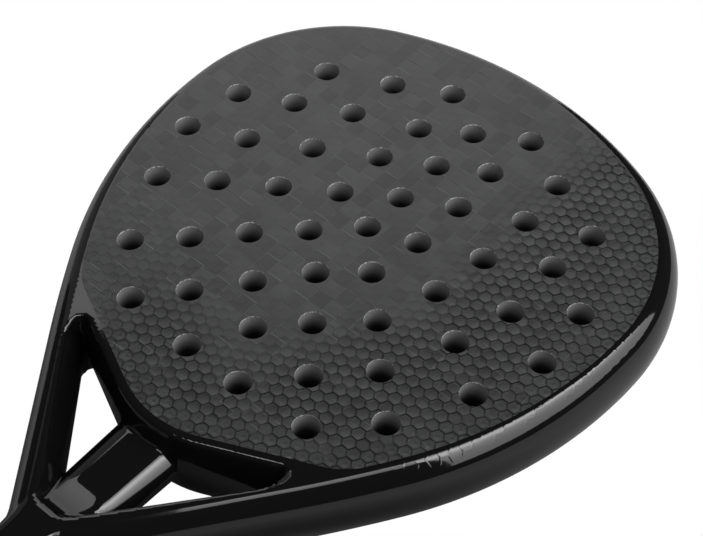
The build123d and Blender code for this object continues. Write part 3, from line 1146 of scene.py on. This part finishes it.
def hexagon_sides(look, u, v, side, wide, narrow):
    """1 by three of a cell's sides, the right and lower ones for side 1 and the others for -1.

    The sides that run along the racket are fainter than the rest.
    """
    across = u * (side * sqrt(3) / 2)
    along = v * (side * 0.5)
    low = look.math("MAXIMUM", across - along, along * -2.0)
    strong = look.ramp(low, CELL_STEP / 2 - wide, CELL_STEP / 2 - narrow)
    faint = look.ramp(across + along, CELL_STEP / 2 - wide, CELL_STEP / 2 - narrow) * 0.5
    return look.math("MAXIMUM", strong, faint)


def carbon_gloss():
    look = Look("black_clear_coat")
    x, y, _ = look.axes()
    mask = look.attribute("print_through")
    flow = look.noise(0.035)
    orange_peel = look.noise(0.5, 1.0)
    from_middle = hexagon_distance(look, *in_hexagon(look, x, y))
    lattice = look.ramp(from_middle, CELL_STEP / 2 - 0.7, CELL_STEP / 2 - 0.15)
    height = lattice * mask * 0.03 + flow * 0.08 + orange_peel * 0.005
    dust = look.specks(0.09, 0.035)
    rough = look.ramp(look.noise(0.02, 3.0), 0.3, 0.7, 0.03, 0.07)
    return look.set(
        Base_Color=look.blend(dust, (0.0030, 0.0030, 0.0033), (0.05, 0.05, 0.05)),
        Roughness=rough + dust * 0.3,
        Normal=look.bump(height, 1.0),
        IOR=1.5,
    )


def carbon_embossed():
    """Satin cloth of flat tows that pass over and under each other, one square at a time."""
    look = Look("satin_carbon_cloth")
    x, y, _ = look.axes()
    across = x * (1 / TOW_STEP)
    along = y * (1 / TOW_STEP)
    column = look.math("FLOOR", across)
    row = look.math("FLOOR", along)
    over = (column + row) % 2.0
    in_x = across - column - 0.5
    in_y = along - row - 0.5
    square = look.node("ShaderNodeCombineXYZ", {"X": column, "Y": row}).outputs[0]
    random = look.node("ShaderNodeTexWhiteNoise", {"Vector": square}, noise_dimensions="2D")
    luck = look.node("ShaderNodeSeparateColor", {"Color": random.outputs["Color"]})
    luck = [Number(look, out) - 0.5 for out in luck.outputs]
    tilt = in_x * luck[0] + in_y * luck[1]
    crown = in_y * in_y * over + in_x * in_x * (1.0 - over)
    seam_y = look.ramp(look.math("ABSOLUTE", in_y), 0.45, 0.485) * over
    seam_x = look.ramp(look.math("ABSOLUTE", in_x), 0.46, 0.49) * (1.0 - over)
    fibres_x = look.noise(0.7, 3.0, stretch=(0.08, 3, 1))
    fibres_y = look.noise(0.7, 3.0, stretch=(3, 0.08, 1))
    fibres = fibres_x * over + fibres_y * (1.0 - over)
    patchy = look.ramp(look.noise(0.03), 0.34, 0.54)
    chosen = look.ramp(luck[0] + luck[1], -0.1, 0.1)
    seams = (seam_y + seam_x * 0.3) * patchy * chosen
    tone = look.noise(0.02, 3.0) * 0.35 + luck[2] * 0.28 + fibres * 0.4 + over * 0.06 + seams * 2.4
    height = tilt * 0.05 - crown * 0.08 + fibres * 0.014 + seams * 0.08 + look.noise(1.8) * 0.008
    pressed = look.ramp(look.attribute("relief"), 0.06, 0.9)
    u, v = in_hexagon(look, x, y)
    # Painted shade and highlight along the hexagon creases: the right and lower sides of each cell get
    # a darker colour and less specular, and the other sides a lighter colour and more specular, where
    # the shallow relief would shade and catch the light.
    painted_crease_shade = hexagon_sides(look, u, v, 1.0, 1.0, 0.5) * pressed
    painted_crease_shade = painted_crease_shade * look.ramp(look.noise(0.12), 0.25, 0.55, 0.55, 1.0)
    painted_crest_highlight = hexagon_sides(look, u, v, -1.0, 0.45, 0.15) * pressed
    painted_crest_highlight = painted_crest_highlight * look.ramp(look.noise(0.2), 0.35, 0.65)
    lit = tone * (1.0 - painted_crease_shade) - painted_crease_shade * 0.3 + painted_crest_highlight * 0.35
    return look.set(
        Base_Color=look.blend(lit, (0.005, 0.0052, 0.0055), (0.034, 0.035, 0.035)),
        Roughness=look.ramp(tone, 0.2, 0.9, 0.37, 0.30),
        Specular_IOR_Level=0.5 - painted_crease_shade * 0.46 + painted_crest_highlight * 0.2,
        Normal=look.bump(height, 1.0),
        IOR=1.5,
    )


def cut_edge():
    """Sawn edge of the cloth in a drilled hole, pale where its fibres are frayed."""
    look = Look("cut_carbon_edge")
    fray = look.ramp(look.noise(0.9, 4.0, 0.7), 0.45, 0.62)
    return look.set(
        Base_Color=look.blend(fray, (0.14, 0.14, 0.14), (0.60, 0.60, 0.59)),
        Roughness=look.ramp(fray, 0.0, 1.0, 0.6, 0.85),
        Normal=look.bump(fray, 0.1),
    )


def eva_foam():
    """Cut foam with painted shade: lighter beside the sheets and darker deeper in the holes, mottled by
    its pores.
    """
    look = Look("cut_foam")
    _, _, z = look.axes()
    depth = MID_Z - look.math("ABSOLUTE", z - MID_Z)
    pores = look.noise(1.4, 3.0)
    # Painted shade down the hole walls: pale beside the sheets, near black from 13 mm in.
    painted_hole_shade = look.ramp(depth, 13.0, 0.5) * look.ramp(pores, 0.2, 0.8, 0.75, 1.0)
    return look.set(
        Base_Color=look.blend(painted_hole_shade, (0.008, 0.008, 0.008), (0.18, 0.18, 0.183)),
        Roughness=0.95,
        Specular_IOR_Level=0.1,
        Normal=look.bump(pores, 0.10),
    )


def filler_foam():
    look = Look("pale_foam")
    cells = look.noise(0.9, 3.0)
    return look.set(
        Base_Color=look.blend(cells, (0.26, 0.24, 0.20), (0.42, 0.40, 0.34)),
        Roughness=0.95,
        Normal=look.bump(cells, 0.2),
    )


def grip_wrap():
    look = Look("cushioned_grip")
    grain = look.noise(1.6, 4.0, 0.6)
    worn = look.ramp(look.noise(0.03, 3.0), 0.45, 0.75)
    return look.set(
        Base_Color=look.blend(worn, (0.010, 0.010, 0.011), (0.028, 0.027, 0.027)),
        Roughness=look.ramp(grain, 0.2, 0.8, 0.52, 0.72) - worn * 0.1,
        Sheen_Weight=0.15,
        Normal=look.bump(grain, 0.10),
    )


def grip_tape():
    look = Look("satin_tape")
    x, y, z = look.axes()
    weave = look.math("SINE", y * 9.0) * look.math("SINE", (x + z) * 9.0)
    fray = look.noise(0.2, 3.0)
    return look.set(
        Base_Color=look.blend(fray, (0.018, 0.018, 0.019), (0.036, 0.036, 0.038)),
        Roughness=look.ramp(fray, 0.3, 0.7, 0.45, 0.6),
        Normal=look.bump(weave * 0.02 + fray * 0.05, 1.0),
    )


def collar_rubber():
    look = Look("collar_rubber")
    grain = look.noise(0.8, 4.0)
    return look.set(
        Base_Color=look.blend(grain, (0.010, 0.010, 0.0105), (0.020, 0.020, 0.021)),
        Roughness=look.ramp(grain, 0.3, 0.7, 0.5, 0.65),
        Normal=look.bump(grain, 0.05),
    )


def cap_plastic():
    look = Look("moulded_cap")
    grain = look.noise(1.5)
    scuffs = look.ramp(look.noise(0.25, 4.0, 0.7, (1, 0.3, 1)), 0.6, 0.75)
    return look.set(
        Base_Color=look.blend(scuffs, (0.013, 0.013, 0.014), (0.045, 0.045, 0.046)),
        Roughness=look.ramp(grain, 0.3, 0.7, 0.42, 0.55),
        Normal=look.bump(grain, 0.06),
    )


# ---- camera, lights and floor ----

CAMERA_PLACE = Vector((0.32665, -0.28051, 0.62965))
CAMERA_TARGET = Vector((0.01004, 0.0797, 0.038))
CAMERA_LENS = 90.655
CAMERA_ROLL = -0.2527
SENSOR_WIDTH = 36.0

BACK_WALL_DISTANCE = 1600
WINDOW_DISTANCE = 900
LAMP_AIM_Y = 0.03
FLOOR_REACH = 4000
FLOOR_Z = -0.2
TABLE_LOW = (-500, -600)
TABLE_HIGH = (560, 380)
TABLE_Z = -26.0


def make_camera():
    camera = linked("camera", bpy.data.cameras.new("camera"))
    camera.data.lens = CAMERA_LENS
    camera.data.sensor_width = SENSOR_WIDTH
    camera.location = CAMERA_PLACE
    aim = (CAMERA_TARGET - CAMERA_PLACE).to_track_quat("-Z", "Y").to_matrix()
    camera.rotation_euler = (aim @ Matrix.Rotation(radians(CAMERA_ROLL), 3, "Z")).to_euler()
    bpy.context.scene.camera = camera


def facing(azimuths):
    """Direction of a wall or lamp between two azimuths, and half of its width over its distance.

    Azimuth runs clockwise from +Y, as seen from above.
    """
    turn = radians(sum(azimuths) / 2)
    return Vector((sin(turn), cos(turn), 0)), tan(radians(azimuths[1] - azimuths[0]) / 2)


def glow_wall(name, material, azimuths, distance, stops):
    """Glowing upright wall, whose stops pair an elevation in degrees with a radiance."""
    away, spread = facing(azimuths)
    side = Vector((away.y, -away.x, 0)) * distance * spread
    points = []
    for elevation, _ in stops:
        middle = away * distance + Vector((0, HEAD_MIDDLE_Y, distance * tan(radians(elevation))))
        points += [middle - side, middle + side]
    faces = [(2 * i, 2 * i + 1, 2 * i + 3, 2 * i + 2) for i in range(len(stops) - 1)]
    wall = new_object(name, points, faces, smooth=False)
    spread_values(wall, "glow", np.repeat([radiance for _, radiance in stops], 2))
    paint(wall, material)
    wall.visible_camera = False


def make_walls():
    """Pale and dim walls at the left, and a tall window with its wing at the right."""
    look = Look("studio_glow")
    look.set(Base_Color=(0, 0, 0, 1), Specular_IOR_Level=0.0)
    look.set(Emission_Color=(1, 1, 1, 1), Emission_Strength=look.attribute("glow"))
    pale = ((-30, 0.8), (15, 1.0), (31, 1.5), (45, 2.0), (54, 2.1))
    dim = ((-30, 0.2), (50, 0.3))
    window = ((8, 2.3), (25, 3.0), (36, 4.2), (45, 6.0), (51, 9.5), (58, 10.0), (61, 5.0))
    window += ((66, 4.0),)
    wing = ((46, 2.5), (60, 4.0), (64, 2.5))
    glow_wall("pale_wall", look.material, (-66, -18), BACK_WALL_DISTANCE, pale)
    glow_wall("dim_wall", look.material, (-92, -66), BACK_WALL_DISTANCE, dim)
    glow_wall("window", look.material, (42, 104), WINDOW_DISTANCE, window)
    glow_wall("window_wing", look.material, (104, 132), WINDOW_DISTANCE, wing)


def front_light(azimuths, elevations, distance, radiance):
    """Soft lamp in front of the racket, which edges the bridge and the holes with light."""
    away, spread = facing(azimuths)
    height = (elevations[0] + elevations[1]) / 2
    light = bpy.data.lights.new("front_light", "AREA")
    light.shape = "RECTANGLE"
    light.size = 2 * distance * spread
    light.size_y = 2 * distance * tan(radians(elevations[1] - elevations[0]) / 2)
    light.energy = radiance * light.size * light.size_y * pi
    item = linked("front_light", light)
    aim = away * cos(radians(height)) + Vector((0, 0, sin(radians(height))))
    item.location = aim * distance + Vector((0, LAMP_AIM_Y, 0))
    item.rotation_euler = (-aim).to_track_quat("-Z", "Y").to_euler()


def floor_plane(name, low, high, z):
    plan = (low, (high[0], low[1]), high, (low[0], high[1]))
    corners = [(x, y, z) for x, y in plan]
    floor = new_object(name, corners, [(0, 1, 2, 3)], smooth=False)
    return floor


def make_floor():
    """White sweep for the eye, and the smaller table below it that the gloss reflects, with a painted
    shadow near the racket.
    """
    white = Look("white_sweep")
    white.set(Base_Color=(0, 0, 0, 1), Emission_Color=(1, 1, 1, 1), Emission_Strength=1.0)
    white.set(Specular_IOR_Level=0.0)
    seen = floor_plane("floor", (-FLOOR_REACH,) * 2, (FLOOR_REACH,) * 2, FLOOR_Z)
    paint(seen, white.material)
    seen.visible_glossy = False
    seen.visible_diffuse = False
    seen.visible_shadow = False
    grey = Look("table_top")
    x, y, _ = grey.axes()
    away = grey.math("SQRT", x * x + y * y)
    # Painted shadow: the table's colour is darker near the racket and paler further out.
    shade = grey.ramp(away, 95, 250)
    grey.set(Base_Color=grey.blend(shade, (0.10, 0.10, 0.10), (0.44, 0.44, 0.44)))
    grey.set(Roughness=0.9, Specular_IOR_Level=0.0)
    table = floor_plane("table_in_reflections", TABLE_LOW, TABLE_HIGH, TABLE_Z)
    paint(table, grey.material)
    table.visible_camera = False
    table.visible_diffuse = False


def make_world():
    """Dark studio, with a pale backdrop behind the floor."""
    world = bpy.data.worlds.new("studio")
    world.use_nodes = True
    bpy.context.scene.world = world
    nodes = world.node_tree.nodes
    links = world.node_tree.links
    dark = nodes["Background"]
    dark.inputs["Color"].default_value = (0.05, 0.05, 0.05, 1)
    pale = nodes.new("ShaderNodeBackground")
    path = nodes.new("ShaderNodeLightPath")
    pale.inputs["Color"].default_value = (1, 1, 1, 1)
    mix = nodes.new("ShaderNodeMixShader")
    links.new(path.outputs["Is Camera Ray"], mix.inputs["Fac"])
    links.new(dark.outputs[0], mix.inputs[1])
    links.new(pale.outputs[0], mix.inputs[2])
    links.new(mix.outputs[0], nodes["World Output"].inputs["Surface"])


def make_stage():
    make_floor()
    make_world()
    make_camera()
    make_walls()
    front_light((168, 198), (46, 66), 1.1, 5.0)
    bpy.context.scene.view_settings.view_transform = "Standard"


# ---- assembly ----


def paint(item, *materials):
    item.data.materials.clear()
    for material in materials:
        item.data.materials.append(material)


def main():
    cloth = carbon_embossed()
    sawn = cut_edge()
    paint(make_moulding(), carbon_gloss())
    for name, front in (("front_face", True), ("back_face", False)):
        sheet = make_face(name, front)
        paint(sheet, cloth, sawn)
        mark_cut_edges(sheet)
    paint(make_core(), eva_foam())
    paint(make_grip(), grip_wrap())
    paint(make_tape(), grip_tape())
    paint(make_collar(), collar_rubber())
    paint(make_cap(), cap_plastic())
    foam = filler_foam()
    for name in ("bridge_foam", "spine_foam", "handle_core"):
        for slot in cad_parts[name].material_slots:
            slot.material = foam
    make_stage()


main()
